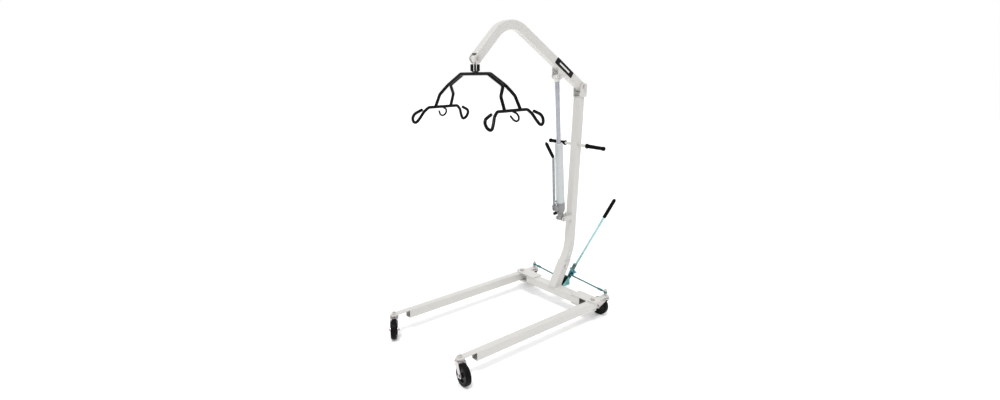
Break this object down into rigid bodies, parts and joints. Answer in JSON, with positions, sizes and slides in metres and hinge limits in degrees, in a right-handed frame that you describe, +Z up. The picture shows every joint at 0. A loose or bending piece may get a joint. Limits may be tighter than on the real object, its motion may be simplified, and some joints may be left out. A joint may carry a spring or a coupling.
{
  "type": "patient lift hoist",
  "caption": "Mobile patient lift with a bent mast, a curved boom on a hydraulic hand pump, a hooked sling cradle and legs that spread.",
  "frame": {"origin": "on the floor, under the middle of the overall length and width", "axes": "+X forward along the legs, +Y the left side of the lift, +Z up"},
  "size_m": [1.1614, 0.7292, 1.5705],
  "materials": {
    "frame_paint": "satin",
    "pump_paint": "satin",
    "base_paint": "satin",
    "black_paint": "gloss",
    "chrome": "polished",
    "zinc": "satin",
    "blue_zinc": "satin",
    "dark_steel": "satin",
    "grip_rubber": "matte",
    "tyre_rubber": "matte",
    "hub_plastic": "matte",
    "white_plastic": "gloss"
  },
  "bodies": {
    "base": {"crossbar": "frame_paint", "pivot_plates_left": "frame_paint", "pivot_plates_right": "frame_paint", "leg_pivot_bolts": "zinc", "pivot_bushes": "zinc", "mast_socket": "frame_paint", "mast": "frame_paint", "mast_bracket": "frame_paint", "mast_bolts": "zinc", "push_bar": "frame_paint", "push_grips": "grip_rubber", "pump_bracket": "frame_paint", "shifter_bracket": "blue_zinc", "shifter_pivot_bolt": "dark_steel"},
    "leg_left": {"leg_left": "frame_paint", "leg_stud_left": "zinc", "caster_stem_front_left": "zinc", "caster_stem_rear_left": "zinc"},
    "leg_right": {"leg_right": "frame_paint", "leg_stud_right": "zinc", "caster_stem_front_right": "zinc", "caster_stem_rear_right": "zinc"},
    "shifter": {"shifter_lever": "blue_zinc", "shifter_grip": "grip_rubber"},
    "tie_rod_left": {"tie_rod_left": "blue_zinc"},
    "tie_rod_right": {"tie_rod_right": "blue_zinc"},
    "boom": {"boom": "frame_paint", "ram_clevis": "frame_paint", "boom_bolts": "zinc"},
    "ram": {"pump_ram": "chrome", "ram_eye": "white_plastic"},
    "pump": {"pump_base": "base_paint", "pump_tube": "pump_paint", "pump_gland": "pump_paint"},
    "pump_lever": {"pump_lever": "zinc", "pump_lever_grip": "grip_rubber"},
    "plunger": {"pump_plunger": "zinc"},
    "release_knob": {"release_knob": "grip_rubber"},
    "hanger": {"hanger": "white_plastic", "swivel_pin": "zinc"},
    "cradle": {"cradle_hub": "black_paint", "cradle_arms": "black_paint", "cradle_bar_left": "black_paint", "cradle_bar_right": "black_paint"},
    "fork_front_left": {"caster_fork_front_left": "zinc", "caster_axle_front_left": "zinc"},
    "wheel_front_left": {"caster_hub_front_left": "hub_plastic", "caster_tyre_front_left": "tyre_rubber"},
    "fork_front_right": {"caster_fork_front_right": "zinc", "caster_axle_front_right": "zinc"},
    "wheel_front_right": {"caster_hub_front_right": "hub_plastic", "caster_tyre_front_right": "tyre_rubber"},
    "fork_rear_left": {"caster_fork_rear_left": "zinc", "caster_axle_rear_left": "zinc"},
    "wheel_rear_left": {"caster_hub_rear_left": "hub_plastic", "caster_tyre_rear_left": "tyre_rubber"},
    "fork_rear_right": {"caster_fork_rear_right": "zinc", "caster_axle_rear_right": "zinc"},
    "wheel_rear_right": {"caster_hub_rear_right": "hub_plastic", "caster_tyre_rear_right": "tyre_rubber"}
  },
  "joints": [
    {"name": "boom_pivot", "type": "hinge", "parent": "base", "child": "boom", "pos_m": [-0.52884, 0, 1.2415], "axis": [0, -1, 0], "range_deg": [-57, 24]},
    {"name": "ram_pin_joint", "type": "hinge", "parent": "boom", "child": "ram", "pos_m": [-0.34284, 0, 1.298], "axis": [0, -1, 0], "range_deg": [-24, 57]},
    {"name": "pump_stroke", "type": "slide", "parent": "ram", "child": "pump", "axis": [-0.0803, 0, -0.9968], "range_m": [-0.178, 0.075]},
    {"name": "pump_lever_pivot", "type": "hinge", "parent": "pump", "child": "pump_lever", "pos_m": [-0.34838, 0, 0.59417], "axis": [0, 1, 0], "range_deg": [0, 45]},
    {"name": "plunger_slide", "type": "slide", "parent": "pump", "child": "plunger", "axis": [0.0803, 0, 0.9968], "range_m": [0, 0.0065]},
    {"name": "release_turn", "type": "hinge", "parent": "pump", "child": "release_knob", "pos_m": [-0.38548, 0, 0.55703], "axis": [0.9968, 0, -0.0803], "range_deg": [0, 270]},
    {"name": "hanger_pivot", "type": "hinge", "parent": "boom", "child": "hanger", "pos_m": [0.19816, 0, 1.393], "axis": [0, -1, 0], "range_deg": [-24, 57]},
    {"name": "cradle_swivel", "type": "hinge", "parent": "hanger", "child": "cradle", "pos_m": [0.20116, 0, 1.352], "axis": [0, 0, 1], "continuous": true},
    {"name": "shifter_pivot", "type": "hinge", "parent": "base", "child": "shifter", "pos_m": [-0.48384, 0, 0.139], "axis": [1, 0, 0], "range_deg": [0, 51]},
    {"name": "leg_left_pivot", "type": "hinge", "parent": "base", "child": "leg_left", "pos_m": [-0.37584, 0.28, 0.098], "axis": [0, 0, 1], "range_deg": [0, 12.24]},
    {"name": "leg_right_pivot", "type": "hinge", "parent": "base", "child": "leg_right", "pos_m": [-0.37584, -0.28, 0.098], "axis": [0, 0, -1], "range_deg": [0, 12.24]},
    {"name": "tie_rod_left_joint", "type": "hinge", "parent": "leg_left", "child": "tie_rod_left", "pos_m": [-0.48384, 0.28, 0.14], "axis": [0, 0, 1], "range_deg": [-12.24, 0]},
    {"name": "tie_rod_right_joint", "type": "hinge", "parent": "leg_right", "child": "tie_rod_right", "pos_m": [-0.48384, -0.28, 0.14], "axis": [0, 0, -1], "range_deg": [-12.24, 0]},
    {"name": "swivel_front_left", "type": "hinge", "parent": "leg_left", "child": "fork_front_left", "pos_m": [0.52216, 0.28, 0.107], "axis": [0, 0, 1], "continuous": true},
    {"name": "roll_front_left", "type": "hinge", "parent": "fork_front_left", "child": "wheel_front_left", "pos_m": [0.52743, 0.31328, 0.0508], "axis": [-0.9877, 0.1564, 0], "continuous": true},
    {"name": "swivel_front_right", "type": "hinge", "parent": "leg_right", "child": "fork_front_right", "pos_m": [0.52216, -0.28, 0.107], "axis": [0, 0, 1], "continuous": true},
    {"name": "roll_front_right", "type": "hinge", "parent": "fork_front_right", "child": "wheel_front_right", "pos_m": [0.54168, -0.25253, 0.0508], "axis": [-0.8151, 0.5793, 0], "continuous": true},
    {"name": "swivel_rear_left", "type": "hinge", "parent": "leg_left", "child": "fork_rear_left", "pos_m": [-0.48384, 0.28, 0.107], "axis": [0, 0, 1], "continuous": true},
    {"name": "roll_rear_left", "type": "hinge", "parent": "fork_rear_left", "child": "wheel_rear_left", "pos_m": [-0.48032, 0.24649, 0.0508], "axis": [0.9945, 0.1045, 0], "continuous": true},
    {"name": "swivel_rear_right", "type": "hinge", "parent": "leg_right", "child": "fork_rear_right", "pos_m": [-0.48384, -0.28, 0.107], "axis": [0, 0, 1], "continuous": true},
    {"name": "roll_rear_right", "type": "hinge", "parent": "fork_rear_right", "child": "wheel_rear_right", "pos_m": [-0.47857, -0.31328, 0.0508], "axis": [0.9877, 0.1564, 0], "continuous": true}
  ],
  "couplings": [
    {"joint": "ram_pin_joint", "follows": "boom_pivot", "ratio": -1},
    {"joint": "pump_stroke", "follows": "boom_pivot", "m_per_rad": 0.178},
    {"joint": "hanger_pivot", "follows": "boom_pivot", "ratio": -1},
    {"joint": "plunger_slide", "follows": "pump_lever_pivot", "m_per_rad": 0.008},
    {"joint": "leg_left_pivot", "follows": "shifter_pivot", "ratio": 0.24},
    {"joint": "leg_right_pivot", "follows": "shifter_pivot", "ratio": 0.24},
    {"joint": "tie_rod_left_joint", "follows": "shifter_pivot", "ratio": -0.24},
    {"joint": "tie_rod_right_joint", "follows": "shifter_pivot", "ratio": -0.24}
  ]
}
